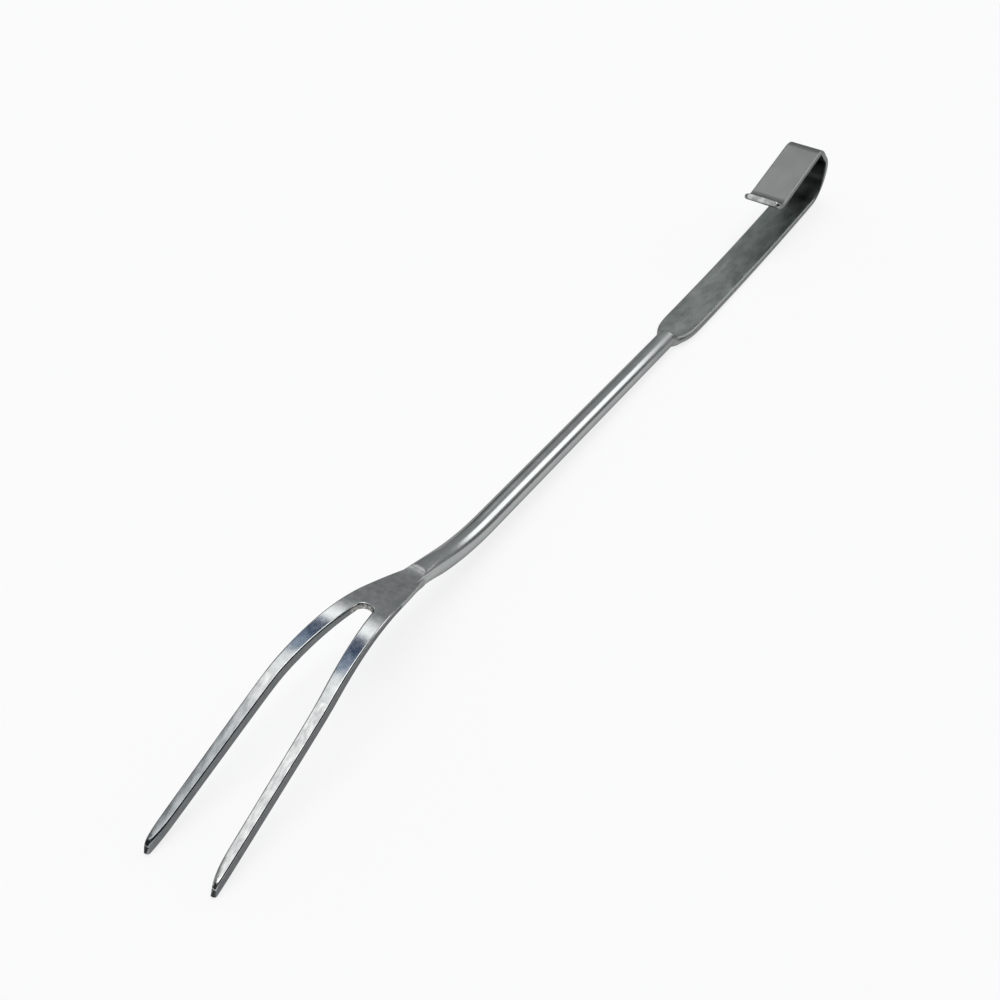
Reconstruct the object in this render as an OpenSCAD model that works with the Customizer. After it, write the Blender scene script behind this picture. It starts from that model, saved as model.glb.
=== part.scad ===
// Two-tine flesh fork, forged from one round bar: a hook to hang it by, a pressed flat handle,
// a plain round shank, a cranked neck, a pressed crown and two pointed tines.
// The sections of the forging are separate solids that meet face to face at the press lines.
// Millimetres. The fork lies as it rests on a table, hook up, with its tines towards -X.

/* [Bar] */
// Diameter of the round bar
bar_d = 8; // [6:0.5:12]
// Straight length of bar between the handle and the bend of the neck
shank_l = 150; // [80:1:260]

/* [Handle] */
// Length of the pressed flat, from its shoulder to the hook
handle_l = 163; // [90:1:220]
// Width of the flat just past its shoulder
handle_w = 16.3; // [12:0.1:24]
// Thickness of the flat at its shoulder
handle_t = 3.6; // [2.4:0.1:5]
// How far the flat's middle lies below the middle of the bar
handle_drop = 0.9; // [0:0.1:1.5]
// How quickly the shoulder swells from the bar to the flat
shoulder_l = 7; // [4:0.5:14]
// Length of the step that the press leaves at the end of the bar
step_l = 3.2; // [2:0.1:8]
// Radius of the flat's gentle upward bow
bow_r = 2020; // [1200:10:6000]

/* [Hook] */
// Width of the strip in the hook
hook_w = 18.2; // [12:0.1:26]
// Thickness of the strip in the hook
hook_t = 2.5; // [1.6:0.1:4]
// Inner radius of the hook's two bends
hook_r = 10.7; // [7:0.1:20]
// Turn of the first bend, where the hook hangs
seat_turn = 141.4; // [115:0.1:160]
// Straight length between the two bends
back_l = 10.9; // [2:0.1:25]
// Turn of the second bend
crest_turn = 47.4; // [30:0.1:60]
// Straight length of the arm that comes back over the handle
arm_l = 41; // [15:0.5:60]
// Inner radius of the lip that flares up
lip_r = 13; // [8:0.5:30]
// Turn of the lip
lip_turn = 52; // [15:1:60]
// Radius of the lip's two corners
lip_corner_r = 2; // [1:0.1:6]

/* [Neck and crown] */
// Radius of the bend of the neck, at the middle of the bar
neck_r = 114; // [60:1:200]
// Upward turn of the neck
neck_turn = 14.8; // [8:0.1:20]
// Length over which the bar is pressed from round to oval, between the bend and the crown
neck_l = 12.5; // [5:0.5:30]
// Height of the oval where the crown begins
press_h = 5.7; // [5.2:0.1:7.6]
// Width of the oval where the crown begins
press_w = 8.1; // [7:0.1:9.6]
// Thickness of the tines, and of the crown where the press doesn't thin it
crown_t = 3.6; // [2.4:0.1:5]
// How much thinner the press leaves the flat of the crown
crown_thinning = 1.6; // [0:0.1:1.7]
// Length of the flat part of the crown before it bends down
crown_l = 21; // [14:0.5:35]
// Radius of the crown's bend, at the middle of its thickness
crown_r = 60.6; // [35:0.1:120]
// Downward turn from the crown to the tines
crown_turn = 38.8; // [30:0.1:50]
// Radius of the hollow that the press leaves between the bar and the flat
scallop_r = 36; // [20:1:80]
// How far the crown's flanks bulge
crown_bulge = 1.1; // [0:0.05:2]

/* [Tines] */
// Straight length of the tines, past the crown's bend
tine_l = 56.2; // [30:0.1:90]
// Width of a tine where its straight length begins
tine_w = 4; // [2.6:0.1:6]
// Width of a tine just before its point
tine_tip_w = 3; // [1.8:0.1:5]
// Gap between the tines where their straight length begins
gap_w = 14.9; // [10:0.1:24]
// Gap between the tines just before their points
gap_tip_w = 19.6; // [12:0.1:32]
// Width of the round root of the slot
root_w = 5.4; // [4.4:0.1:9]
// Distance from the start of the crown to the root of the slot
root_l = 27.2; // [18:0.1:40]
// Length of the ground point
point_l = 9; // [5:0.5:20]
// Width left at the very tip
point_w = 1.6; // [0.5:0.1:1.8]
// Length of the bevel on top of the point
bevel_l = 2.2; // [1.5:0.1:8]
// Thickness left at the very tip
bevel_t = 2.2; // [0.5:0.1:2.4]

/* [Hidden] */
$fn = 96;
steel = "#b9bdc0";
bar_r = bar_d / 2;

// Middle lines of the hook's bends, and the turn of the bowed handle
bend_r = hook_r + hook_t / 2;
flare_r = lip_r + hook_t / 2;
bow_turn = handle_l / bow_r * 180 / PI;
hook_x = bow_r * sin(bow_turn);
hook_z = bow_r * (1 - cos(bow_turn)) - handle_drop;
seat_x = hook_x - bend_r * sin(bow_turn);
seat_z = hook_z + bend_r * cos(bow_turn);

// The handle's shoulder: it swells from just before the press line and has died out at shoulder_end,
// the underside eases into the flat over a longer way than the step on top
shoulder_lead = 1.2;
shoulder_end = 4 * shoulder_l;
swell_power = 1.5;
belly_l = 2 * step_l;
lead_share = 1 / 8;

// Rings along the shoulder, which crowd towards its start, and along the rest of the handle,
// and points on each rounded edge
shoulder_rings = 20;
ring_crowding = 1.6;
handle_rings = 9;
arc_points = 10;

// Rings along the neck's bend and along its pressed length, and points on each quarter of a ring
bend_rings = 8;
press_rings = 10;
quarter_points = 8;

// Places along the head, measured from the handle's shoulder towards the tips
neck_end_x = shank_l + neck_r * sin(neck_turn);
neck_end_z = neck_r * (1 - cos(neck_turn));
press_x = neck_end_x + neck_l * cos(neck_turn);
crown_x = press_x + crown_l * cos(neck_turn);
crown_z = neck_end_z + (neck_l + crown_l) * sin(neck_turn);
dip = crown_turn - neck_turn;
tine_x = crown_x + crown_r * (sin(neck_turn) + sin(dip));
tine_z = crown_z + crown_r * (cos(dip) - cos(neck_turn));
tip_x = tine_x + tine_l * cos(dip);
tip_z = tine_z - tine_l * sin(dip) - crown_t / 2 / cos(dip);
root_x = press_x + root_l + root_w / 2;
// Longer than anything that it bounds or cuts
reach = 2 * tip_x;

// The press thins the crown from below, over its first half and until its bend carries the legs down
thin_start = crown_l / 2;
thin_end = crown_l * 6 / 7;
flat_steps = 12;
bend_steps = 24;
function eased(u) = let (v = min(1, max(0, u))) v * v * (3 - 2 * v);
function thinned(x) = crown_thinning * eased((x - press_x) / thin_start)
    * (1 - eased((x - press_x - thin_end) / (tine_x - press_x - thin_end)));

// Outline of the crown and tines in plan: the flat comes out of the oval bar, its flanks bulge and run
// softly into the tines at the knuckle. The points close late, mostly on their inner sides.
plan_steps = 48;
plan_x = press_x - crown_t / 2;
press_half = press_w / 2 * sqrt(1 - pow(crown_t / press_h, 2));
knuckle_soft = 0.2;
bulge_share = 1.1;
bulge_l = bulge_share * (tine_x - press_x);
bulge_peak = 4 / 27;
point_power = 2.5;
inner_share = 0.7;
flank = (gap_w / 2 + tine_w - press_half) / (tine_x - press_x);
slot_flank = (gap_w - root_w) / 2 / (tine_x - root_x);
splay = (gap_tip_w - gap_w) / 2 / (tip_x - tine_x);
taper = (tine_w - tine_tip_w) / (tip_x - tine_x);
function soft_min(a, b, k) = (a + b - sqrt((a - b) * (a - b) + 4 * k * k)) / 2;
function into_point(x) = max(0, (x - tip_x + point_l) / point_l);
function tine_width(x) = tine_w - taper * (x - tine_x);
function bulge(x) =
    let (along = min(1, max(0, (x - press_x) / bulge_l)))
    crown_bulge / bulge_peak * along * (1 - along) * (1 - along);
function inner_edge(x) = soft_min(
    root_w / 2 + slot_flank * (x - root_x), gap_w / 2 + splay * (x - tine_x), knuckle_soft);
function outer_edge(x) = soft_min(
    press_half + flank * (x - press_x) + bulge(x),
    gap_w / 2 + tine_w + (splay - taper) * (x - tine_x), knuckle_soft);
function narrowing(x) = (tine_width(x) - point_w) * pow(into_point(x), point_power);
function inner_side(x) = inner_edge(x) + inner_share * narrowing(x);
function outer_side(x) = outer_edge(x) - (1 - inner_share) * narrowing(x);

// Rest pose: the fork touches the table with its tips and with whatever lies lowest behind them
rest_steps = 30;
function flat_half(s) = (handle_t + (hook_t - handle_t) * s / handle_l) / 2;
function under_flat(s) = s * s / 2 / bow_r - handle_drop - flat_half(s);
rest_rises = concat(
    [(-bar_r - tip_z) / tip_x],
    [for (k = [1 : rest_steps]) let (s = handle_l * k / rest_steps) (under_flat(s) - tip_z) / (tip_x + s)]);
rest_tilt = atan(min(rest_rises));
rest_lift = -(tip_x * sin(rest_tilt) + tip_z * cos(rest_tilt));
front_x = tip_z * sin(rest_tilt) - tip_x * cos(rest_tilt);
back_x = seat_x * cos(rest_tilt) + seat_z * sin(rest_tilt) + bend_r + hook_t / 2;

// Turns the fork from its bar's own axes to the way it lies on the table
module laid() {
    translate([-(front_x + back_x) / 2, 0, rest_lift]) rotate([0, rest_tilt, 0]) children();
}

// Head pieces are drawn with the tips towards +X and turned round here
module head() {
    laid() mirror([1, 0, 0]) children();
}

// Moves on past a bend of radius r that turns up by a degrees, or down where a is negative
module past_bend(r, a) {
    c = a < 0 ? -r : r;
    translate([0, 0, c]) rotate([0, -a, 0]) translate([0, 0, -c]) children();
}

// Bends a flat outline upwards through a degrees along +X, at the radius r
module bend(r, a) {
    translate([0, 0, r]) rotate([90, 90, 0]) rotate_extrude(angle = a) translate([r, 0]) children();
}

// Runs a flat outline straight along +X
module run(l) {
    rotate([90, 0, 90]) linear_extrude(l) rotate(90) children();
}

// Strip in the hook, its thickness along X and its width along Y, with fully rounded edges
module hook_section() {
    square([hook_t, hook_w - hook_t], center = true);
    for (side = [-1, 1]) translate([0, side * (hook_w - hook_t) / 2]) circle(d = hook_t);
}

// Frame at the end of the hook's first bend, heading along its back
module at_back() {
    translate([0, 0, -handle_drop]) past_bend(bow_r, bow_turn) past_bend(bend_r, seat_turn) children();
}

// Frame at the start of the arm, past the hook's second bend
module at_arm() {
    at_back() translate([back_l, 0, 0]) past_bend(bend_r, crest_turn) children();
}

// What lies outside the lip's two rounded corners
module lip_corners() {
    for (side = [-1, 1]) translate([-lip_corner_r, side * (hook_w / 2 - lip_corner_r), 0]) difference() {
        translate([lip_corner_r, side * lip_corner_r, 0])
            cube([2 * lip_corner_r, 2 * lip_corner_r, hook_w], center = true);
        cylinder(r = lip_corner_r, h = 2 * hook_w, center = true);
    }
}

module hanging_hook() {
    color(steel) laid() at_back() {
        mirror([1, 0, 0]) bend(bend_r, seat_turn) hook_section();
        run(back_l) hook_section();
        translate([back_l, 0, 0]) bend(bend_r, crest_turn) hook_section();
    }
}

module hook_arm() {
    color(steel) laid() at_arm() {
        run(arm_l) hook_section();
        translate([arm_l, 0, 0]) difference() {
            mirror([0, 0, 1]) bend(flare_r, lip_turn) hook_section();
            past_bend(flare_r, -lip_turn) lip_corners();
        }
    }
}

// Ring of the handle's skin at the distance s past the press line: a strip section with rounded edges
// that begins as the round bar, swells sideways and drops to the flat
function pressed(s, l) = eased(s / l + lead_share);
function swell(s) = 1 - exp(-pow((s + shoulder_lead) / shoulder_l, swell_power));
function flat_width(s) = handle_w + (hook_w - handle_w) * s / handle_l;
function half_width(s) = bar_r + (flat_width(s) / 2 - bar_r) * swell(s);
function top_z(s) = bar_r + (flat_half(s) - handle_drop - bar_r) * pressed(s, step_l);
function low_z(s) = -bar_r + (bar_r - handle_drop - flat_half(s)) * pressed(s, belly_l);
function ring(s) =
    let (
        half = (top_z(s) - low_z(s)) / 2,
        middle = (top_z(s) + low_z(s)) / 2,
        side_y = half_width(s) - half,
        round_r = half / cos(90 / arc_points),
        turn = max(0, s) / bow_r * 180 / PI
    )
    [for (side = [1, -1], k = [0 : arc_points - 1])
        let (
            a = side * 90 * ((2 * k + 1) / arc_points - 1),
            from_centre = bow_r - handle_drop - middle - round_r * sin(a)
        )
        [min(0, s) + from_centre * sin(turn),
         side * (side_y + round_r * cos(a)),
         bow_r - handle_drop - from_centre * cos(turn)]];

// Skin over a row of rings with as many points each, closed at both ends
module loft(rings) {
    n = len(rings[0]);
    last = (len(rings) - 1) * n;
    sides = [for (i = [0 : len(rings) - 2], k = [0 : n - 1])
        let (a = i * n + k, b = i * n + (k + 1) % n)
        each [[a, b, b + n], [a, b + n, a + n]]];
    caps = [[for (k = [n - 1 : -1 : 0]) k], [for (k = [0 : n - 1]) last + k]];
    polyhedron([for (r = rings) each r], concat(sides, caps));
}

module handle() {
    along_shoulder = [for (k = [0 : shoulder_rings - 1])
        (shoulder_end + shoulder_lead) * pow(k / shoulder_rings, ring_crowding) - shoulder_lead];
    along_flat = [for (k = [0 : handle_rings])
        shoulder_end + (handle_l - shoulder_end) * k / handle_rings];
    color(steel) laid() loft([for (s = concat(along_shoulder, along_flat)) ring(s)]);
}

module shank() {
    color(steel) head() translate([shoulder_lead, 0, 0]) rotate([0, 90, 0])
        cylinder(d = bar_d, h = shank_l - shoulder_lead);
}

// Section of the bar, pressed by that share of the way from round to the oval at the crown
function bar_section(share) =
    let (
        outside = 1 / cos(45 / quarter_points),
        half_w = (bar_r + (press_w / 2 - bar_r) * share) * outside,
        half_h = (bar_r + (press_h / 2 - bar_r) * share) * outside
    )
    [for (k = [0 : 4 * quarter_points - 1])
        let (a = 90 * (k + 0.5) / quarter_points)
        [half_w * cos(a), half_h * sin(a)]];

// Ring of the neck's skin after that turn of its bend and that far along its pressed length
function neck_ring(turn, along) = [for (p = bar_section(eased(along / neck_l)))
    [shank_l + (neck_r - p[1]) * sin(turn) + along * cos(turn),
     p[0],
     neck_r - (neck_r - p[1]) * cos(turn) + along * sin(turn)]];

module neck() {
    round_part = [for (k = [0 : bend_rings - 1]) neck_ring(neck_turn * k / bend_rings, 0)];
    pressed_part = [for (k = [0 : press_rings]) neck_ring(neck_turn, neck_l * k / press_rings)];
    color(steel) head() loft(concat(round_part, pressed_part));
}

// Frame at the start of the crown, where the press begins to flatten the bar
module at_crown() {
    translate([shank_l, 0, 0]) past_bend(neck_r, neck_turn) translate([neck_l, 0, 0]) children();
}

// Frame at the start of the tines, past the crown's bend
module at_tines() {
    at_crown() translate([crown_l, 0, 0]) past_bend(crown_r, -crown_turn) children();
}

// Flat section as thick as a tine, wider than the head
module slab_section() {
    square([crown_t, reach], center = true);
}

// Point of the crown's side profile, so far above the middle of its thickness
function crown_point(x, above) =
    let (turn = neck_turn - asin(sin(neck_turn) - max(0, x - crown_x) / crown_r))
    x <= crown_x
        ? [(x - press_x) / cos(neck_turn), above]
        : [crown_l + (crown_r + above) * sin(turn), (crown_r + above) * cos(turn) - crown_r];

// The crown from the side, wider than the head: flat, thinned from below and bent down
module crown_slab() {
    flat_xs = [for (k = [0 : flat_steps - 1]) press_x + (crown_x - press_x) * k / flat_steps];
    bend_xs = [for (k = [0 : bend_steps]) crown_x + (tine_x - crown_x) * k / bend_steps];
    xs = concat(flat_xs, bend_xs);
    rotate([90, 0, 0]) linear_extrude(reach, center = true) polygon(concat(
        [for (x = concat([press_x], bend_xs)) crown_point(x, crown_t / 2)],
        [for (k = [len(xs) - 1 : -1 : 0]) crown_point(xs[k], thinned(xs[k]) - crown_t / 2)]));
}

// Plan outline of crown and tines, without the slot
module head_outline() {
    xs = [for (k = [0 : plan_steps]) plan_x + (tip_x - plan_x) * k / plan_steps];
    polygon(concat(
        [for (x = xs) [x, outer_side(x)]],
        [for (k = [plan_steps : -1 : 0]) [xs[k], -outer_side(xs[k])]]));
}

// Slot between the tines in plan, with its round root
module slot_outline() {
    xs = [for (k = [0 : plan_steps]) root_x + (tip_x - root_x) * k / plan_steps];
    translate([root_x, 0]) circle(d = root_w);
    polygon(concat(
        [for (x = xs) [x, inner_side(x)]],
        [for (side = [1, -1]) [tip_x + point_l, side * inner_side(tip_x)]],
        [for (k = [plan_steps : -1 : 0]) [xs[k], -inner_side(xs[k])]]));
}

module head_plan() {
    translate([0, 0, -reach / 2]) linear_extrude(reach) difference() {
        head_outline();
        slot_outline();
    }
}

// Space above a flat at that height, hollowed towards the bar at the radius r
module press_cut(r, flat_z) {
    hollow_l = sqrt(pow(r, 2) - pow(r - (press_h / 2 - flat_z), 2));
    translate([hollow_l, 0, flat_z]) {
        translate([0, 0, r]) rotate([90, 0, 0]) cylinder(r = r, h = reach, center = true, $fn = 4 * $fn);
        translate([0, -reach / 2, 0]) cube(reach);
    }
}

// End of the oval bar, hollowed by the press above and, on to the thinned flat, below
module bar_end() {
    low_z = crown_t / 2 - crown_thinning;
    low_depth = press_h / 2 - low_z;
    low_r = (thin_start * thin_start + low_depth * low_depth) / (2 * low_depth);
    difference() {
        run(thin_start) polygon([for (p = bar_section(1)) [p[1], p[0]]]);
        press_cut(scallop_r, crown_t / 2);
        mirror([0, 0, 1]) press_cut(low_r, low_z);
    }
}

module fork_crown() {
    color(steel) head() {
        intersection() {
            at_crown() crown_slab();
            head_plan();
        }
        at_crown() bar_end();
    }
}

// One tine: a straight slab inside the plan, with the top of its point ground down
module tine(side) {
    bevel = atan((crown_t - bevel_t) / bevel_l);
    color(steel) head() difference() {
        intersection() {
            at_tines() run(tine_l + crown_t) slab_section();
            head_plan();
            translate([0, side < 0 ? -reach : 0, -reach / 2]) cube(reach);
        }
        at_tines() translate([tine_l, 0, bevel_t - crown_t / 2]) rotate([0, bevel, 0])
            translate([-reach / 2, -reach / 2, 0]) cube(reach);
    }
}

module left_tine() {
    tine(-1);
}

module right_tine() {
    tine(1);
}

hook_arm();
hanging_hook();
handle();
shank();
neck();
fork_crown();
left_tine();
right_tine();
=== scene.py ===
"""A two-tine flesh fork forged from one round bar of steel, lying on a white table under soft studio light.

Skins are modelled in millimetres along the bar's own axes, the handle towards +X, and are then laid down
on the table, in metres, where the frame has them.
"""

import math

import bmesh
import bpy
from mathutils import Matrix, Vector


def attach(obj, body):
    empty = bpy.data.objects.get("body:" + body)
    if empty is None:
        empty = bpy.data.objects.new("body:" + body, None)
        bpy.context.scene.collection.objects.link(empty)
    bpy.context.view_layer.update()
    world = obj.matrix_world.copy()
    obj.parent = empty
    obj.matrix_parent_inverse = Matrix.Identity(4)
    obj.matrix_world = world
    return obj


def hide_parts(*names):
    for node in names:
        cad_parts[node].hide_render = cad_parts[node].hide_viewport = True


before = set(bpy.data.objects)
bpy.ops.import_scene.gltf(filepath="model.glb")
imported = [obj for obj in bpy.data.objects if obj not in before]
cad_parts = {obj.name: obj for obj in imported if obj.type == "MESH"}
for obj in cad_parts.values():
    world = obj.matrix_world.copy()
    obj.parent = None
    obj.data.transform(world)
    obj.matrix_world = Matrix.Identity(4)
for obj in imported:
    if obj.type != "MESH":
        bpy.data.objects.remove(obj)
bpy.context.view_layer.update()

MM = 0.001
# Axes by their number
X, Y, Z = range(3)

# Sizes of the forging in millimetres and degrees, as the solids have them.
# The bar, and the flat handle with its bow. Its shoulder swells from just before the press line and has died
# out at its end, and the belly eases into the flat over a longer way than the step on top
bar_r = 4.0
shank_l = 150.0
handle_l, handle_w, handle_t, handle_drop = 163.0, 16.3, 3.6, 0.9
shoulder_l, shoulder_lead, swell_power = 7.0, 1.2, 1.5
shoulder_end = 4 * shoulder_l
step_l, belly_l, lead_share = 3.2, 6.4, 1 / 8
bow_r = 2020.0
# The hook's strip, its two bends with the back between them, and its arm with the lip
hook_w, hook_t, hook_r = 18.2, 2.5, 10.7
seat_turn, back_l, crest_turn = 141.4, 10.9, 47.4
arm_l, lip_r, lip_turn, lip_corner_r = 41.0, 13.0, 52.0, 2.0
# The neck, bent up and pressed to an oval
neck_r, neck_turn, neck_l = 114.0, 14.8, 12.5
press_h, press_w = 5.7, 8.1
# The crown: its flat and bend, its flanks with the peak of their bulge's curve, and its thinned underside
crown_t, crown_l, crown_r, crown_turn, scallop_r = 3.6, 21.0, 60.6, 38.8, 36.0
crown_bulge, bulge_share, bulge_peak = 1.1, 1.1, 4 / 27
crown_thinning, thin_start, thin_end = 1.6, crown_l / 2, crown_l * 6 / 7
# The slot's root, the tines and their points
root_w, root_l, knuckle_soft = 5.4, 27.2, 0.2
tine_l, tine_w, tine_tip_w, gap_w, gap_tip_w = 56.2, 4.0, 3.0, 14.9, 19.6
point_l, point_w, point_power = 9.0, 1.6, 2.5
bevel_l, bevel_t = 2.2, 2.2

# Sizes that the skins alone have.
# Share of a point's narrowing that is ground from its inner side, on the right tine and on the left
inner_shares = {-1: 0.5, 1: 0.9}
# Depth and bow of the facet that the press leaves on top of the bar, up to the crown
facet_depth, facet_bow = 0.7, 7.0
# Radius to which the press and the grinder have worn the edges of the crown and tines, above and below
edge_r, low_edge_r = 0.6, 0.2
# The crown's flat starts this far inside the end of the bar, and the dies cut this far into the flat
crown_lead, die_bite = 0.8, 0.05
# The inner top edge of a point is ground to this radius over this length
grind_r, grind_l = 1.3, 11.0
# The very tip is rounded over this length, in rings of a share of the length and a share of the last ring
tip_soft = 0.7
tip_rings = ((0.5, 0.88), (0.3, 0.75), (0.2, 0.5))

# Points on a section of the bar and of the strip, and steps round a worn edge
BAR_POINTS, STRIP_POINTS, EDGE_STEPS = 64, 48, 4
# Points nearer than this, in millimetres, are one
CLOSE = 1e-4
# Faces that meet at less than this many degrees are shaded as one
SMOOTH_TURN = 35

bend_r = hook_r + hook_t / 2
flare_r = lip_r + hook_t / 2
bow_turn = math.degrees(handle_l / bow_r)
dip = crown_turn - neck_turn


def sin(degrees):
    return math.sin(math.radians(degrees))


def cos(degrees):
    return math.cos(math.radians(degrees))


def eased(u):
    """Smooth step from 0 to 1."""
    v = min(1, max(0, u))
    return v * v * (3 - 2 * v)


def soft_min(a, b):
    """The lesser of two outlines, with a soft corner where they cross."""
    return (a + b - math.sqrt((a - b) ** 2 + 4 * knuckle_soft ** 2)) / 2


def spread(start, length, steps, closed=False):
    """Even places from start over a length, with the last one at its end where closed."""
    return [start + length * k / steps for k in range(steps + closed)]


# Places along the head, measured from the handle's shoulder towards the tips
press_x = shank_l + neck_r * sin(neck_turn) + neck_l * cos(neck_turn)
crown_x = press_x + crown_l * cos(neck_turn)
crown_z = neck_r * (1 - cos(neck_turn)) + (neck_l + crown_l) * sin(neck_turn)
tine_x = crown_x + crown_r * (sin(neck_turn) + sin(dip))
tine_z = crown_z + crown_r * (cos(dip) - cos(neck_turn))
tip_x = tine_x + tine_l * cos(dip)
tip_z = tine_z - tine_l * sin(dip) - crown_t / 2 / cos(dip)
root_x = press_x + root_l + root_w / 2
# Half the flat's width at the bar, and how fast each outline runs outwards
press_half = press_w / 2 * math.sqrt(1 - (crown_t / press_h) ** 2)
bulge_l = bulge_share * (tine_x - press_x)
flank = (gap_w / 2 + tine_w - press_half) / (tine_x - press_x)
slot_flank = (gap_w - root_w) / 2 / (tine_x - root_x)
splay = (gap_tip_w - gap_w) / 2 / (tip_x - tine_x)
taper = (tine_w - tine_tip_w) / (tip_x - tine_x)


def narrowing(x):
    """How much of a tine's width its ground point has lost at the distance x along the head."""
    into = max(0, (x - tip_x + point_l) / point_l)
    return (tine_w - taper * (x - tine_x) - point_w) * into ** point_power


def inner_side(x, side):
    edge = soft_min(root_w / 2 + slot_flank * (x - root_x), gap_w / 2 + splay * (x - tine_x))
    return edge + inner_shares[side] * narrowing(x)


def outer_side(x, side):
    along = min(1, max(0, (x - press_x) / bulge_l))
    bulge = crown_bulge / bulge_peak * along * (1 - along) ** 2
    straight = gap_w / 2 + tine_w + (splay - taper) * (x - tine_x)
    edge = soft_min(press_half + flank * (x - press_x) + bulge, straight)
    return edge - (1 - inner_shares[side]) * narrowing(x)


def flat_half(s):
    """Half the flat's thickness at the distance s along the handle."""
    return (handle_t + (hook_t - handle_t) * s / handle_l) / 2


def underside(s):
    """Height of the handle's underside at the distance s along it."""
    return s * s / 2 / bow_r - handle_drop - flat_half(s)


def rise_from_tips(s, z):
    """Slope of a line from the tips to the height z at the distance s along the handle."""
    return (z - tip_z) / (tip_x + s)


def past_bend(radius, turn):
    """Frame past a bend that turns up by so many degrees, or down where turn is negative."""
    centre = Vector((0, 0, math.copysign(radius, turn)))
    turned = Matrix.Rotation(math.radians(-turn), 4, "Y")
    return Matrix.Translation(centre) @ turned @ Matrix.Translation(-centre)


def ahead(x, z=0):
    return Matrix.Translation((x, 0, z))


# How the fork lies: its tips touch the table, and so does the bar's end or the lowest of the handle's underside
rest_steps = 30
rest_rises = [rise_from_tips(0, -bar_r)]
rest_rises += [rise_from_tips(s, underside(s)) for s in spread(0, handle_l, rest_steps, closed=True)[1:]]
rest_tilt = math.degrees(math.atan(min(rest_rises)))
rest_lift = -(tip_x * sin(rest_tilt) + tip_z * cos(rest_tilt))
seat = ahead(0, -handle_drop) @ past_bend(bow_r, bow_turn) @ Vector((0, 0, bend_r))
front_x = tip_z * sin(rest_tilt) - tip_x * cos(rest_tilt)
back_x = seat.x * cos(rest_tilt) + seat.z * sin(rest_tilt) + bend_r + hook_t / 2
LAID = (
    Matrix.Scale(MM, 4)
    @ ahead(-(front_x + back_x) / 2, rest_lift)
    @ Matrix.Rotation(math.radians(rest_tilt), 4, "Y")
)

# Frames of the sections: the hook's follow the handle, and the head's are turned round to point at the tips
HEAD = LAID @ Matrix.Rotation(math.pi, 4, "Z")
AT_HOOK = LAID @ ahead(0, -handle_drop) @ past_bend(bow_r, bow_turn)
AT_ARM = AT_HOOK @ past_bend(bend_r, seat_turn) @ ahead(back_l) @ past_bend(bend_r, crest_turn)
AT_NECK = HEAD @ ahead(shank_l)
AT_CROWN = AT_NECK @ past_bend(neck_r, neck_turn) @ ahead(neck_l)
TO_TINES = ahead(crown_l) @ past_bend(crown_r, -crown_turn)
AT_TINES = AT_CROWN @ TO_TINES


def start_section(name, radius, points, turn=0):
    """Adds a round section that faces along +X, and opens it for editing."""
    bpy.ops.object.select_all(action="DESELECT")
    bpy.ops.mesh.primitive_circle_add(vertices=points, radius=radius, fill_type="NGON")
    piece = bpy.context.object
    piece.name = piece.data.name = name
    upright = Matrix.Rotation(math.pi / 2, 4, "Y")
    piece.matrix_world = upright @ Matrix.Rotation(math.radians(turn), 4, "Z")
    bpy.ops.object.transform_apply(rotation=True)
    bpy.ops.object.mode_set(mode="EDIT")
    return piece


def open_mesh():
    mesh = bmesh.from_edit_mesh(bpy.context.object.data)
    mesh.verts.ensure_lookup_table()
    return mesh


def chosen_points():
    return [v.index for v in open_mesh().verts if v.select]


def choose(points):
    """Selects these points alone."""
    bpy.ops.mesh.select_all(action="DESELECT")
    mesh = open_mesh()
    for k in points:
        mesh.verts[k].select = True
    mesh.select_flush_mode()
    bmesh.update_edit_mesh(bpy.context.object.data)


def halves(points, axis):
    """The points of a section below and above its middle on one axis."""
    places = {k: open_mesh().verts[k].co[axis] for k in points}
    middle = (min(places.values()) + max(places.values())) / 2
    below = [k for k in points if places[k] < middle - CLOSE]
    above = [k for k in points if places[k] > middle + CLOSE]
    return below, above


def widen(points, axis, low, high, along=None):
    """Moves the lower half of a section by low and the upper half by high, along that axis or another."""
    way = axis if along is None else along
    for half, distance in zip(halves(points, axis), (low, high)):
        choose(half)
        bpy.ops.transform.translate(value=[distance if k == way else 0 for k in range(3)])
    choose(points)


def run_on(length, heading=0, steps=1):
    """Carries the selected section straight on, so many degrees up from +X."""
    step = (length / steps * cos(heading), 0, length / steps * sin(heading))
    for _ in range(steps):
        bpy.ops.mesh.extrude_region_move(TRANSFORM_OT_translate={"value": step})


def bend_on(turn, centre, steps=1):
    """Carries the selected section round a bend that turns up by so many degrees, or down."""
    bpy.ops.mesh.spin(steps=steps, angle=math.radians(turn), center=centre, axis=(0, 1, 0))


def face_outwards():
    """Turns all the faces of the open piece outwards."""
    bpy.ops.mesh.select_all(action="SELECT")
    bpy.ops.mesh.normals_make_consistent(inside=False)


def apply_modifier(piece, kind, **settings):
    """Adds one modifier with its settings and applies it."""
    bpy.context.view_layer.objects.active = piece
    modifier = piece.modifiers.new(kind.title(), kind)
    for name, value in settings.items():
        setattr(modifier, name, value)
    bpy.ops.object.modifier_apply(modifier=modifier.name)


def close_piece(piece, place):
    """Cleans a modelled skin, lays it where the fork has it and shades it."""
    bpy.ops.mesh.select_all(action="SELECT")
    bpy.ops.mesh.remove_doubles(threshold=CLOSE)
    face_outwards()
    bpy.ops.object.mode_set(mode="OBJECT")
    piece.matrix_world = place
    bpy.ops.object.transform_apply(location=True, rotation=True, scale=True)
    bpy.ops.object.shade_smooth_by_angle(angle=math.radians(SMOOTH_TURN))
    apply_modifier(piece, "WEIGHTED_NORMAL", keep_sharp=True)
    return piece


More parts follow.
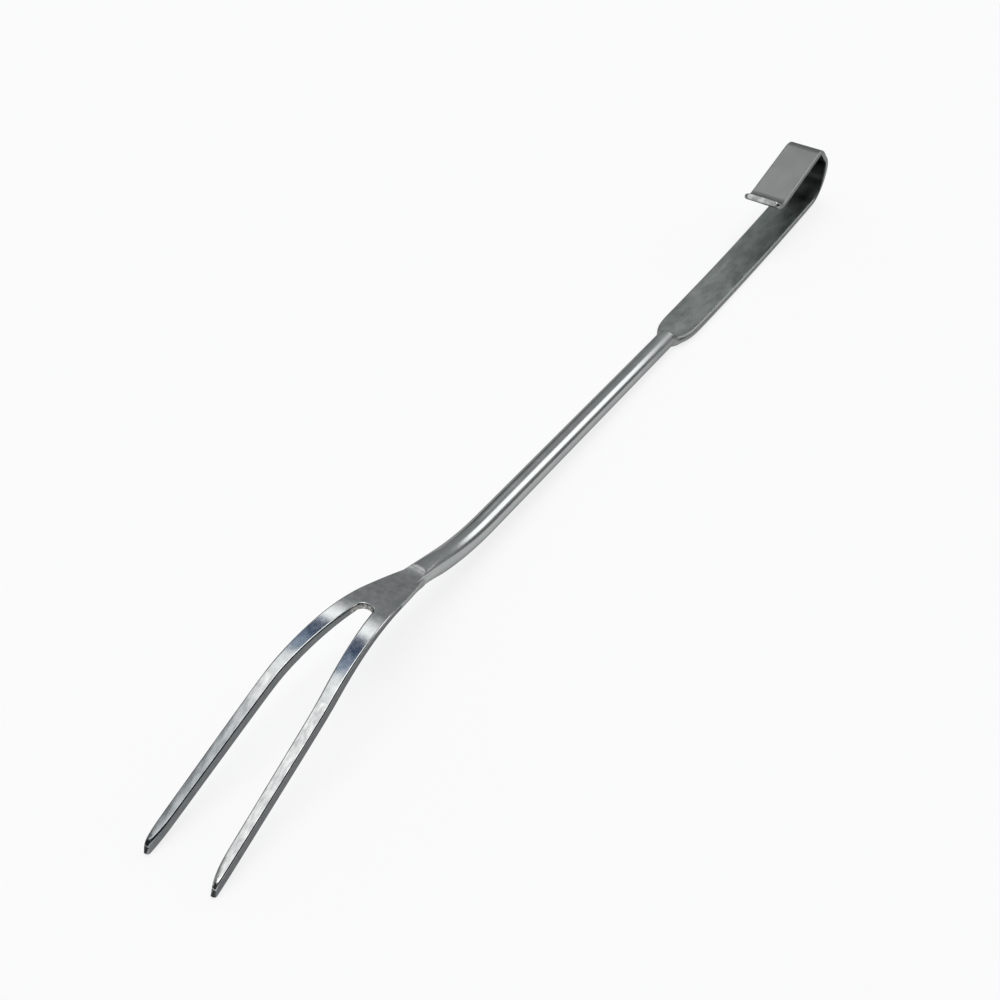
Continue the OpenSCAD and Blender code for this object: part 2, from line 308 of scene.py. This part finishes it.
def make_shank():
    """The plain round bar."""
    piece = start_section("shank_skin", bar_r, BAR_POINTS)
    run_on(shank_l - shoulder_lead, steps=30)
    return close_piece(piece, HEAD @ ahead(shoulder_lead))


def press_section(points, rise, share):
    """Raises the underside of a section of the bar, and presses its top to a shallow facet, by those shares."""
    choose(halves(points, Z)[0])
    squash = 1 + (press_h / 2 / bar_r - 1) * rise
    bpy.ops.transform.resize(value=(1, 1, squash), center_override=(0, 0, 0))
    for k in points:
        place = open_mesh().verts[k].co
        above = place.z - bar_r + facet_depth * share + place.y ** 2 / 2 / facet_bow
        if above > 0:
            choose([k])
            bpy.ops.transform.translate(value=(0, 0, -above))
    choose(points)


def make_neck():
    """The bar drawn back from the crown: a pressed section that grows round again, then the bend."""
    straight_steps, bend_steps = 12, 16
    piece = start_section("neck_skin", bar_r, BAR_POINTS)
    rings = [chosen_points()]
    for _ in range(straight_steps):
        run_on(-neck_l / straight_steps)
        rings.append(chosen_points())
    bend_on(-neck_turn, (-neck_l, 0, neck_r), steps=bend_steps)
    for k, ring in enumerate(rings):
        press_section(ring, 1 - eased(k / straight_steps), 1 - k / straight_steps)
    return close_piece(piece, AT_CROWN)


def make_handle():
    """The bar's round section, drawn on ring by ring as it swells sideways and steps down to the flat."""
    shoulder_rings, flat_rings, crowding = 44, 30, 1.6
    shoulder_way = shoulder_end + shoulder_lead
    stations = [shoulder_way * (k / shoulder_rings) ** crowding - shoulder_lead for k in range(shoulder_rings)]
    stations += spread(shoulder_end, handle_l - shoulder_end, flat_rings, closed=True)
    piece = start_section("handle_skin", bar_r, BAR_POINTS)
    bpy.ops.transform.translate(value=(stations[0], 0, 0))
    rings = [chosen_points()]
    for before, s in zip(stations, stations[1:]):
        run_on(s - before)
        rings.append(chosen_points())
    for s, ring in zip(stations, rings):
        swell = 1 - math.exp(-((s + shoulder_lead) / shoulder_l) ** swell_power)
        width = handle_w + (hook_w - handle_w) * s / handle_l
        half_width = bar_r + (width / 2 - bar_r) * swell
        top = bar_r + (flat_half(s) - handle_drop - bar_r) * eased(s / step_l + lead_share)
        low = -bar_r + (bar_r - handle_drop - flat_half(s)) * eased(s / belly_l + lead_share)
        half = (top - low) / 2
        choose(ring)
        bpy.ops.transform.resize(value=(1, half / bar_r, half / bar_r), center_override=(0, 0, 0))
        bpy.ops.transform.translate(value=(-max(0, s), 0, (top + low) / 2))
        widen(ring, Y, half - half_width, half_width - half)
        turn = max(0, s) / bow_r
        bpy.ops.transform.rotate(value=turn, orient_axis="Y", center_override=(0, 0, bow_r - handle_drop))
    return close_piece(piece, LAID)


def start_strip(name):
    """Section of the strip in the hook, with its two edges fully round."""
    piece = start_section(name, hook_t / 2, STRIP_POINTS)
    widen(chosen_points(), Y, (hook_t - hook_w) / 2, (hook_w - hook_t) / 2)
    return piece


def make_hanging_hook():
    """The strip bent round the seat, run up the back and bent over the crest."""
    piece = start_strip("hanging_hook_skin")
    bend_on(seat_turn, (0, 0, bend_r), steps=96)
    run_on(back_l, seat_turn, steps=6)
    bend_on(crest_turn, past_bend(bend_r, seat_turn) @ Vector((back_l, 0, bend_r)), steps=36)
    return close_piece(piece, AT_HOOK)


def make_hook_arm():
    """The strip run straight on, then bent up into the lip, whose corners are rounded as it ends."""
    piece = start_strip("hook_arm_skin")
    run_on(arm_l, steps=20)
    corner_turn = math.degrees(lip_corner_r / flare_r)
    corner_steps = 10
    centre = (arm_l, 0, -flare_r)
    bend_on(corner_turn - lip_turn, centre, steps=30)
    drawn_in = 0
    for k in range(1, corner_steps + 1):
        bend_on(-corner_turn * (sin(90 * k / corner_steps) - sin(90 * (k - 1) / corner_steps)), centre)
        now_in = lip_corner_r * (1 - cos(90 * k / corner_steps))
        widen(chosen_points(), Y, now_in - drawn_in, drawn_in - now_in)
        drawn_in = now_in
    return close_piece(piece, AT_ARM)


def crown_stations():
    """Places along the head in plan at which the crown is drawn: even, but by angle round the slot's root."""
    root_steps, flat_steps, bend_steps, leg_steps = 9, 16, 4, 28
    # Degrees of the first step round the root
    root_start = 14
    start, apex = press_x + crown_lead, root_x - root_w / 2
    flat = spread(start, crown_x - start, flat_steps)
    bend = spread(crown_x, apex - crown_x, bend_steps)
    turns = [0] + spread(root_start, 90 - root_start, root_steps)
    round_root = [root_x - root_w / 2 * cos(turn) for turn in turns]
    legs = spread(root_x, tine_x - root_x, leg_steps, closed=True)
    return flat + bend + round_root + legs


def crown_frame(x):
    """Frame on the middle of the crown's thickness at the distance x along the head."""
    if x <= crown_x:
        return ahead((x - press_x) / cos(neck_turn))
    slope = math.degrees(math.asin(sin(neck_turn) - (x - crown_x) / crown_r))
    return ahead(crown_l) @ past_bend(crown_r, slope - neck_turn)


def thinned(x):
    """How far the press has raised the crown's underside at the distance x along the head."""
    start = eased((x - press_x) / thin_start)
    end = eased((x - press_x - thin_end) / (tine_x - press_x - thin_end))
    return crown_thinning * start * (1 - end)


def slot_side(x):
    """Half the slot's width at the distance x, none before its root."""
    if x < root_x:
        return math.sqrt(max(0, (root_w / 2) ** 2 - (root_x - x) ** 2))
    return inner_side(x, 1)


def draw_plan(stations):
    """Draws half the crown's plan on, edge by edge, and bends it down."""
    bpy.ops.object.select_all(action="DESELECT")
    bpy.ops.mesh.primitive_plane_add(size=2)
    piece = bpy.context.object
    piece.name = piece.data.name = "fork_crown_skin"
    bpy.ops.object.mode_set(mode="EDIT")
    choose([v.index for v in open_mesh().verts if v.co.x < 0])
    bpy.ops.mesh.delete(type="VERT")
    choose([v.index for v in open_mesh().verts])
    sides = (-1, 1)
    bpy.ops.transform.translate(value=(crown_lead / cos(neck_turn) - 1, 0, 0))
    for before, x in zip(stations[:1] + stations, stations):
        if crown_x < x:
            turn = crown_frame(x).to_euler().y - crown_frame(before).to_euler().y
            bend_on(-math.degrees(turn), (crown_l, 0, -crown_r))
        elif before < x:
            run_on((x - before) / cos(neck_turn))
        wanted = (slot_side(x), outer_side(x, 1))
        widen(chosen_points(), Y, wanted[0] - sides[0], wanted[1] - sides[1])
        sides = wanted
    bpy.ops.object.mode_set(mode="OBJECT")
    return piece


def thin_underside(stations):
    """Raises the crown's underside, station by station, as the press has thinned it."""
    bpy.ops.object.mode_set(mode="EDIT")
    frames = [crown_frame(x) for x in stations]
    low_points = [[] for _ in stations]
    for v in open_mesh().verts:
        near = min(range(len(stations)), key=lambda k: abs((frames[k].inverted() @ v.co).x))
        if (frames[near].inverted() @ v.co).z < 0:
            low_points[near].append(v.index)
    for x, place, points in zip(stations, frames, low_points):
        choose(points)
        bpy.ops.transform.translate(value=place.to_3x3() @ Vector((0, 0, thinned(x))))
    bpy.ops.object.mode_set(mode="OBJECT")


def soften_edges(piece):
    """Rounds the long edges of the crown and its slot, but not the ends that meet other sections."""
    sharp_turn = math.radians(50)
    end_reach, start_reach, up_share = 0.1, 1.5 * crown_lead, 0.5
    bpy.ops.object.mode_set(mode="EDIT")
    face_outwards()
    bpy.ops.mesh.select_mode(type="EDGE")
    to_end = TO_TINES.inverted()
    for size, upper in ((edge_r, True), (low_edge_r, False)):
        bpy.ops.mesh.select_all(action="DESELECT")
        mesh = open_mesh()
        for edge in mesh.edges:
            at_end = all(abs((to_end @ v.co).x) < end_reach for v in edge.verts)
            at_start = all(v.co.x < start_reach for v in edge.verts)
            faces_up = max((face.normal.z for face in edge.link_faces), default=0) > up_share
            sharp = edge.calc_face_angle(0) > sharp_turn
            edge.select = sharp and faces_up == upper and not at_end and not at_start
        mesh.select_flush_mode()
        bmesh.update_edit_mesh(piece.data)
        bpy.ops.mesh.bevel(offset=size, segments=EDGE_STEPS, profile=0.5, clamp_overlap=False)
    bpy.ops.mesh.select_mode(type="VERT")
    bpy.ops.object.mode_set(mode="OBJECT")


def join_bar_end(crown):
    """The end of the pressed bar, hollowed above and below by the press's round dies, grows into the flat."""
    die_points, die_w = 720, 6 * bar_r
    top = bar_r - facet_depth
    low_depth = press_h / 2 - crown_t / 2 + crown_thinning
    low_r = (thin_start ** 2 + low_depth ** 2) / (2 * low_depth)
    stub = start_section("bar_end", bar_r, BAR_POINTS)
    press_section(chosen_points(), 1, 1)
    run_on(thin_start, steps=12)
    face_outwards()
    bpy.ops.object.mode_set(mode="OBJECT")
    dies = ((1, scallop_r, top, top - crown_t / 2), (-1, low_r, press_h / 2, low_depth))
    for side, radius, high, depth in dies:
        hollow_l = math.sqrt(radius ** 2 - (radius - depth) ** 2)
        bpy.ops.object.select_all(action="DESELECT")
        bpy.ops.mesh.primitive_cylinder_add(
            vertices=die_points, radius=radius, depth=die_w,
            location=(hollow_l, 0, side * (high - depth - die_bite + radius)), rotation=(math.pi / 2, 0, 0))
        die = bpy.context.object
        apply_modifier(stub, "BOOLEAN", operation="DIFFERENCE", solver="EXACT", object=die)
        bpy.data.objects.remove(die)
    apply_modifier(crown, "BOOLEAN", operation="UNION", solver="EXACT", object=stub)
    bpy.data.objects.remove(stub)
    bpy.ops.object.select_all(action="DESELECT")
    crown.select_set(True)
    bpy.context.view_layer.objects.active = crown


def make_crown():
    """Half the plan, mirrored, thickened and softened at its edges, then joined to the bar's end."""
    stations = crown_stations()
    piece = draw_plan(stations)
    apply_modifier(piece, "MIRROR", use_axis=(False, True, False), merge_threshold=CLOSE)
    apply_modifier(piece, "SOLIDIFY", thickness=crown_t, offset=0, use_even_offset=True)
    thin_underside(stations)
    soften_edges(piece)
    join_bar_end(piece)
    bpy.ops.object.mode_set(mode="EDIT")
    return close_piece(piece, AT_CROWN)


def round_corner(points, outward, radius_from, radius_to):
    """Changes the radius of one softened edge of a tine's section, within its two faces."""
    ring = chosen_points()
    places = [open_mesh().verts[k].co for k in points]
    corner = [0] + [max(out * p[axis] for p in places) * out for axis, out in zip((Y, Z), outward)]
    choose(points)
    size = radius_to / radius_from
    bpy.ops.transform.resize(value=(1, size, size), center_override=corner)
    choose(ring)


def make_tine(name, side):
    """A bar with softened edges, drawn out to a point with its inner edge ground away and its end upright."""
    straight_steps, point_steps = 16, 24
    stations = spread(0, tine_l - grind_l, straight_steps)
    stations += spread(tine_l - grind_l, grind_l - tip_soft, point_steps, closed=True)
    piece = start_section(name, edge_r, 4 * (EDGE_STEPS + 1), turn=45 / (EDGE_STEPS + 1))
    for part, out in zip(halves(halves(chosen_points(), Z)[0], Y), (-1, 1)):
        round_corner(part, (out, -1), edge_r, low_edge_r)
    sides, low, top = (-edge_r, edge_r), -edge_r, edge_r
    leads, inner_r = (0, 0), edge_r
    for before, t in zip(stations[:1] + stations, stations):
        if before < t:
            run_on(t - before)
        x = tine_x + t * cos(dip)
        new_sides = sorted((side * inner_side(x, side), side * outer_side(x, side)))
        into_bevel = max(0, t - tine_l + bevel_l) / bevel_l
        new_top = crown_t / 2 - (crown_t - bevel_t) * into_bevel ** 2
        upright = eased((t - tine_l + point_l) / point_l) * sin(dip) / cos(dip)
        new_leads = (crown_t / 2 * upright, -new_top * upright)
        ring = chosen_points()
        widen(ring, Y, new_sides[0] - sides[0], new_sides[1] - sides[1])
        widen(ring, Z, -crown_t / 2 - low, new_top - top)
        widen(ring, Z, new_leads[0] - leads[0], new_leads[1] - leads[1], along=X)
        new_r = edge_r + (grind_r - edge_r) * max(0, t - tine_l + grind_l) / grind_l
        inner_top = halves(halves(ring, Z)[1], Y)[0 if side > 0 else 1]
        round_corner(inner_top, (-side, 1), inner_r, new_r)
        sides, low, top, leads, inner_r = new_sides, -crown_t / 2, new_top, new_leads, new_r
    for advance, size in tip_rings:
        run_on(advance * tip_soft)
        middle = (0, sum(sides) / 2, (low + top) / 2)
        bpy.ops.transform.resize(value=(1, size, size), center_override=middle)
    return close_piece(piece, AT_TINES)


def linear(colour):
    """An sRGB hex value as linear red, green, blue and alpha."""
    parts = [int(colour[k:k + 2], 16) / 255 for k in (1, 3, 5)]
    return [p / 12.92 if p <= 0.04045 else ((p + 0.055) / 1.055) ** 2.4 for p in parts] + [1]


def add(tree, kind, inputs=None, **settings):
    """Adds a node with its settings, and sets or links its inputs."""
    node = tree.nodes.new(kind)
    for name, value in settings.items():
        setattr(node, name, value)
    for socket, value in (inputs or {}).items():
        if isinstance(value, bpy.types.NodeSocket):
            tree.links.new(value, node.inputs[socket])
        else:
            node.inputs[socket].default_value = value
    return node


def calculated(tree, operation, *values):
    return add(tree, "ShaderNodeMath", dict(enumerate(values)), operation=operation).outputs[0]


def ranged(tree, value, source=(0, 1), target=(0, 1), kind="LINEAR"):
    """Carries a value over from one range to another, and holds it at the ends."""
    node = add(tree, "ShaderNodeMapRange", {
        "Value": value, "From Min": source[0], "From Max": source[1],
        "To Min": target[0], "To Max": target[1]}, interpolation_type=kind)
    return node.outputs[0]


def mixed(tree, share, first, second, kind="MIX"):
    """Mixes two colours. The node has sockets of the same names for other values, so these go by number."""
    node = add(tree, "ShaderNodeMix", {0: share, 6: first, 7: second}, data_type="RGBA", blend_type=kind)
    return node.outputs[2]


def new_material(name):
    material = bpy.data.materials.new(name)
    material.use_nodes = True
    material.node_tree.nodes.clear()
    return material, material.node_tree


def per_mm(size):
    """Scale of a pattern on Object coordinates, which are in metres, whose features are so many millimetres."""
    return 1 / (size * MM)


# Octaves of the clouds and of the grain, how strong each next octave is, and the span that the clouds take up
CLOUD_DETAIL, GRAIN_DETAIL, OCTAVE_SHARE, CLOUD_SPAN = 5, 3, 0.6, (0.3, 0.7)
# How far the worn steel's mirror dims where it is seen at a grazing angle
EDGE_TONE = "#b0b0b0"


def stretched_noise(tree, place, size, slope, detail):
    """Noise with features so long and so wide in mm, lying along the bar or so many degrees down from it."""
    long, wide = size
    along = add(tree, "ShaderNodeMapping", {
        "Vector": place, "Rotation": (0, math.radians(slope - rest_tilt), 0),
        "Scale": (per_mm(long), per_mm(wide), per_mm(wide))})
    noise = add(tree, "ShaderNodeTexNoise", {
        "Vector": along.outputs[0], "Scale": 1, "Detail": detail, "Roughness": OCTAVE_SHARE})
    return noise.outputs["Fac"]


def worked_steel(name, tones, gloss, cloud, grain, depth, slope=0, change=None):
    """Steel whose tone and gloss drift in clouds, with a grain of some depth; both so long and so wide in mm.

    A change gives two places along the table in mm, and the tone and the added roughness from the second on.
    """
    material, tree = new_material(name)
    place = add(tree, "ShaderNodeTexCoord").outputs["Object"]
    clouds = stretched_noise(tree, place, cloud, slope, CLOUD_DETAIL)
    lines = stretched_noise(tree, place, grain, slope, GRAIN_DETAIL)
    drift = ranged(tree, clouds, CLOUD_SPAN)
    colour = mixed(tree, drift, linear(tones[0]), linear(tones[1]))
    rough = ranged(tree, drift, target=gloss)
    if change:
        before, after, tone, added = change
        x = add(tree, "ShaderNodeSeparateXYZ", {0: place}).outputs["X"]
        past = ranged(tree, x, (before * MM, after * MM), kind="SMOOTHSTEP")
        colour = mixed(tree, past, colour, linear(tone), "MULTIPLY")
        rough = calculated(tree, "MULTIPLY_ADD", past, added, rough)
    relief = add(tree, "ShaderNodeBump", {"Height": lines, "Strength": 1, "Distance": depth * MM})
    shader = add(tree, "ShaderNodeBsdfPrincipled", {
        "Base Color": colour, "Metallic": 1, "Roughness": rough,
        "Specular Tint": linear(EDGE_TONE), "Normal": relief.outputs[0]})
    add(tree, "ShaderNodeOutputMaterial", {"Surface": shader.outputs[0]})
    return material


# Width of the table in metres, and the share of its look that is plain white
TABLE_W, WASHED = 60, 0.8


def make_floor():
    """A wide white table that takes the fork's soft shadow, mostly washed out as by light from below."""
    bpy.ops.object.select_all(action="DESELECT")
    bpy.ops.mesh.primitive_plane_add(size=TABLE_W)
    floor = bpy.context.object
    floor.name = "table"
    material, tree = new_material("matt_white_card")
    card = add(tree, "ShaderNodeBsdfPrincipled", {
        "Base Color": linear("#f8f8f8"), "Roughness": 0.9, "Specular IOR Level": 0})
    white = add(tree, "ShaderNodeEmission", {"Color": linear("#ffffff"), "Strength": 1})
    ray = add(tree, "ShaderNodeLightPath").outputs
    seen = ray["Is Camera Ray"]
    for kind in ("Is Glossy Ray", "Is Transmission Ray"):
        seen = calculated(tree, "MAXIMUM", seen, ray[kind])
    washed = calculated(tree, "MULTIPLY", seen, WASHED)
    shader = add(tree, "ShaderNodeMixShader", {0: washed, 1: card.outputs[0], 2: white.outputs[0]})
    add(tree, "ShaderNodeOutputMaterial", {"Surface": shader.outputs[0]})
    floor.data.materials.append(material)


# The studio round the fork: azimuth from +X towards +Y and elevation of each card's middle, how far it is
# rolled, its width and height, all in degrees, how soft its edge is, its colour and its strength. Later cards
# hide earlier ones.
CARDS = (
    # Bank of light overhead
    (0, 90, 0, 56, 56, 0.08, "#ffffff", 3.0),
    # Dark walls: beyond the table left and right of the bar, beside the tines, and behind the viewer
    (62, 8, 0, 46, 28, 0.10, "#777777", 1.0),
    (-70, 9, 0, 74, 20, 0.08, "#848484", 1.0),
    (-95, 43, 0, 76, 62, 0.08, "#2a2c2e", 1.0),
    (178, 16, 0, 100, 44, 0.10, "#404244", 1.0),
    # Small lamp behind the viewer that flashes in the hook's lip
    (143.2, 54, 0, 16, 12, 0.006, "#ffffff", 2.2),
    # Long softbox that draws the bright stripe down the bar, and the wall that ends it
    (-22, 34.5, 33, 31, 17, 0.05, "#ffffff", 2.7),
    (6, 36, 0, 18, 26, 0.04, "#b3b4b5", 1.0),
    # Lamp that whitens the crown's bend, with blue-grey and dark blue ceiling beside it
    (41, 46, 0, 18, 14, 0.11, "#ffffff", 2.7),
    (62, 60, 0, 30, 22, 0.02, "#a4b8d4", 1.0),
    (45.5, 55, 0, 12, 12, 0.05, "#2c4670", 1.0),
    # Window over the tines, with its bar
    (111, 63, 0, 28, 20, 0.03, "#ffffff", 1.85),
    (105, 55.5, 0, 40, 4, 0.02, "#ffffff", 0.4),
)
# Tones of the room by the sine of the elevation
ROOM = ((0.0, "#acadae"), (0.5, "#acadae"), (0.75, "#b0b1b2"), (0.85, "#ffffff"))
# A card shows only where a direction leans towards its middle by more than this
IN_FRONT = 0.01


def leaning(tree, way, axis):
    """How far a direction leans along an axis."""
    node = add(tree, "ShaderNodeVectorMath", {0: way, 1: axis}, operation="DOT_PRODUCT")
    return node.outputs["Value"]


def make_studio():
    """The room with its cards, drawn by direction alone."""
    world = bpy.data.worlds.new("studio")
    bpy.context.scene.world = world
    world.use_nodes = True
    tree = world.node_tree
    tree.nodes.clear()
    way = add(tree, "ShaderNodeTexCoord").outputs["Generated"]
    height = add(tree, "ShaderNodeSeparateXYZ", {0: way}).outputs["Z"]
    room = add(tree, "ShaderNodeValToRGB", {0: height})
    stops = room.color_ramp.elements
    for k, (at, tone) in enumerate(ROOM):
        stop = stops[k] if k < len(stops) else stops.new(at)
        stop.position = at
        stop.color = linear(tone)
    light = room.outputs[0]
    for azimuth, elevation, roll, width, tall, soft, tone, strength in CARDS:
        turn = (
            Matrix.Rotation(math.radians(azimuth), 3, "Z")
            @ Matrix.Rotation(math.radians(-elevation), 3, "Y")
            @ Matrix.Rotation(math.radians(roll), 3, "X")
        )
        forward, sideways, upward = (leaning(tree, way, turn.col[k]) for k in range(3))
        mask = calculated(tree, "GREATER_THAN", forward, IN_FRONT)
        for part, span in ((sideways, width), (upward, tall)):
            edge = math.tan(math.radians(span / 2))
            offset = calculated(tree, "ABSOLUTE", calculated(tree, "DIVIDE", part, forward))
            inside = ranged(tree, offset, (edge + soft, edge - soft), kind="SMOOTHSTEP")
            mask = calculated(tree, "MULTIPLY", mask, inside)
        colour = [part * strength for part in linear(tone)[:3]] + [1]
        light = mixed(tree, mask, light, colour)
    background = add(tree, "ShaderNodeBackground", {"Color": light})
    add(tree, "ShaderNodeOutputWorld", {"Surface": background.outputs[0]})


# The photograph's viewpoint: the lens in mm, the camera's place in metres and its turn in degrees
LENS = 42.446
CAMERA_PLACE = (-0.34797, -0.14345, 0.28336)
CAMERA_TURN = (48.556, -3.509, -59.047)


def make_camera():
    """The photograph's viewpoint, over the tips and looking along the fork."""
    data = bpy.data.cameras.new("camera")
    data.lens = LENS
    data.clip_start = 0.01
    camera = bpy.data.objects.new("camera", data)
    bpy.context.scene.collection.objects.link(camera)
    camera.location = CAMERA_PLACE
    camera.rotation_euler = [math.radians(turn) for turn in CAMERA_TURN]
    bpy.context.scene.camera = camera


def dress(piece, node, slot, finish, *others, rule=None):
    """Gives a finished skin its materials, and lets it stand for its section of the forging."""
    piece.data.materials.clear()
    for material in (finish, *others):
        piece.data.materials.append(material)
    if rule:
        for face in piece.data.polygons:
            face.material_index = rule(face.center, face.normal)
    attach(piece, "root")
    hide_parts(node)


# Places of the finishes in a piece's list. The strip's third is the painted shade inside the hook, and in the
# arm the lip's painted reflections
CROWN_FLAT, CROWN_BAR, CROWN_SIDE, CROWN_ROOT = range(4)
STRIP_FLAT, STRIP_EDGE, STRIP_THIRD = range(3)
TINE_TOP, TINE_SIDE, TINE_END = range(3)
# A face is on top where its normal leans from the section's upright by less than about 70 degrees
TOP_SHARE = 0.35
# A face is part of the round bar, or of the strip's edge, where its normal leans sideways by more than these
ROUND_SHARE, EDGE_SHARE = 0.1, 0.3
# A face is the end of the lip or of a tine where its normal leans this far outwards
END_SHARE = 0.5
# A face is inside the hook where its normal leans this far towards the seat's axis
INSIDE_SHARE = 0.3
# The torn root reaches this far round the middle of the slot's end, as a share of the slot's width there
TORN_SHARE = 0.7


def crown_finish(centre, normal):
    """Which finish a face of the crown has: the pressed flat, the bar's end, a side or the torn root."""
    p = AT_CROWN.inverted() @ centre
    facing = (AT_CROWN.inverted().to_3x3() @ normal).normalized()
    turn = math.atan2(max(0, p.x - crown_l), p.z + crown_r)
    up = Vector((math.sin(turn), 0, math.cos(turn)))
    if facing @ up > TOP_SHARE:
        return CROWN_BAR if p.z > crown_t / 2 and abs(facing.y) > ROUND_SHARE else CROWN_FLAT
    root = Vector((root_l / cos(neck_turn) + root_w / 2, 0, 0))
    if (p - root).length < root_w * TORN_SHARE:
        return CROWN_ROOT
    return CROWN_BAR if p.x < crown_l else CROWN_SIDE


def strip_finish(centre, normal):
    """Which finish a face of the handle or hook has: its flat, or a rolled edge away from the bar."""
    at_edge = abs(normal.y) > EDGE_SHARE and abs(centre.y) > bar_r * MM
    return STRIP_EDGE if at_edge else STRIP_FLAT


def hook_finish(centre, normal):
    """Which finish a face of the hook has: the same, but for the inside of the bends, painted with shade."""
    bend_middle = AT_HOOK @ Vector((0, 0, bend_r))
    inside = (bend_middle - centre).normalized() @ normal > INSIDE_SHARE
    return STRIP_THIRD if inside else strip_finish(centre, normal)


def arm_finish(centre, normal):
    """Which finish a face of the hook's arm has: the same, but for the lip's end, painted with reflections."""
    at_lip = normal.x < -END_SHARE and normal.z > 0
    return STRIP_THIRD if at_lip else strip_finish(centre, normal)


def tine_finish(centre, normal):
    """Which finish a face of a tine has: its ground top, a dull side painted darker as shade, or the dark end.
    """
    along, _, up = (AT_TINES.to_3x3().normalized() @ axis for axis in Matrix.Identity(3))
    if normal @ along > END_SHARE:
        return TINE_END
    return TINE_TOP if normal @ up > TOP_SHARE else TINE_SIDE


bpy.context.scene.view_settings.view_transform = "Standard"
make_camera()
make_studio()
make_floor()

# The drawn bar is polished: a clear stripe of light and faint lengthwise lines, rubbed dull near the handle
polished = worked_steel(
    "drawn_polished_stainless_steel", tones=("#a6aaaa", "#b2b5b4"), gloss=(0.16, 0.22),
    cloud=(9, 9), grain=(40, 0.6), depth=0.003, change=(25, 62, "#f0f0f0", 0.2))
# The flat handle is pressed and handled: greenish smudges on a duller mirror, and painted shade towards the
# hook
handled_and_shaded = worked_steel(
    "pressed_handled_stainless_steel_painted_shade", tones=("#888f8c", "#aeb3b0"), gloss=(0.3, 0.38),
    cloud=(9, 3.5), grain=(8, 3), depth=0.003, change=(138, 180, "#eff1f0", 0))
# The hook is bent from the same strip and little touched: an even grey
bent = worked_steel(
    "bent_stainless_strip", tones=("#8c8f8d", "#929593"), gloss=(0.3, 0.36),
    cloud=(14, 9), grain=(8, 3), depth=0.002)
# The inside of the bends starts like the handle; deep in the hook its colour is darkened as painted shade,
# which stands for the shadow in the loop
inside_painted_shade = worked_steel(
    "stainless_bend_inside_painted_shade", tones=("#7f8683", "#a3a8a5"), gloss=(0.3, 0.38),
    cloud=(9, 3.5), grain=(8, 3), depth=0.003, change=(225, 234, "#848886", 0.04))
# The lip's colour is painted with bright and dark patches as reflections, beside the flash of the small lamp
lip_painted_reflection = worked_steel(
    "patchy_stainless_lip_painted_reflection", tones=("#3c3f3e", "#c4c6c4"), gloss=(0.04, 0.08),
    cloud=(7, 7), grain=(5, 5), depth=0.003)
# The strip's round edges are rolled and worn, which spreads the light into a soft band
rolled = worked_steel(
    "rolled_worn_stainless_edge", tones=("#979b99", "#a3a7a5"), gloss=(0.46, 0.54),
    cloud=(9, 3), grain=(4, 1), depth=0.004)
# The crown came out of the press satin and mottled
satin = worked_steel(
    "pressed_satin_stainless_steel", tones=("#989c9d", "#b5b7b6"), gloss=(0.12, 0.2),
    cloud=(2.5, 2.5), grain=(0.5, 0.5), depth=0.007)
# The tines' tops are ground lengthwise, which smears the light into streaks
ground = worked_steel(
    "ground_brushed_stainless_steel", tones=("#8a8d8e", "#c2c3c2"), gloss=(0.1, 0.16),
    cloud=(60, 1.0), grain=(60, 0.6), depth=0.006, slope=dip)
# The other tine was ground on a coarser stone and is greyer from the bend on
coarse = worked_steel(
    "coarse_ground_stainless_steel", tones=("#8a8d8e", "#c2c3c2"), gloss=(0.1, 0.16),
    cloud=(60, 1.4), grain=(60, 0.8), depth=0.008, slope=dip, change=(-188, -210, "#d0d4d8", 0.03))
# The points' very ends are ground off and coloured dark
dark_tip = worked_steel(
    "dark_stainless_tip", tones=("#3c3d3d", "#525352"), gloss=(0.3, 0.4),
    cloud=(1, 1), grain=(0.5, 0.5), depth=0.01)
# The sheared sides are left dull, and painted darker grey than the tops as shade
sheared_and_shaded = worked_steel(
    "sheared_dull_stainless_steel_painted_shade", tones=("#74777a", "#868989"), gloss=(0.36, 0.46),
    cloud=(2, 2), grain=(0.6, 0.6), depth=0.006)
# The slot's root is torn, a coarse speckle of light and dark
torn = worked_steel(
    "torn_stainless_steel", tones=("#2c2d2b", "#d0d0cc"), gloss=(0.3, 0.45),
    cloud=(0.9, 0.9), grain=(0.9, 0.9), depth=0.2)

dress(make_shank(), "shank", "bar_steel", polished)
dress(make_neck(), "neck", "bar_steel", polished)
dress(make_handle(), "handle", "bar_steel", handled_and_shaded, rolled, rule=strip_finish)
dress(make_hanging_hook(), "hanging_hook", "bar_steel", bent, rolled, inside_painted_shade, rule=hook_finish)
dress(make_hook_arm(), "hook_arm", "bar_steel", bent, rolled, lip_painted_reflection, rule=arm_finish)
dress(make_crown(), "fork_crown", "head_steel", satin, polished, sheared_and_shaded, torn, rule=crown_finish)
# The head is turned round, so that its +Y side is the fork's left
dress(make_tine("left_tine_skin", 1), "left_tine", "head_steel", ground, sheared_and_shaded, dark_tip, rule=tine_finish)
dress(make_tine("right_tine_skin", -1), "right_tine", "head_steel", coarse, sheared_and_shaded, dark_tip, rule=tine_finish)
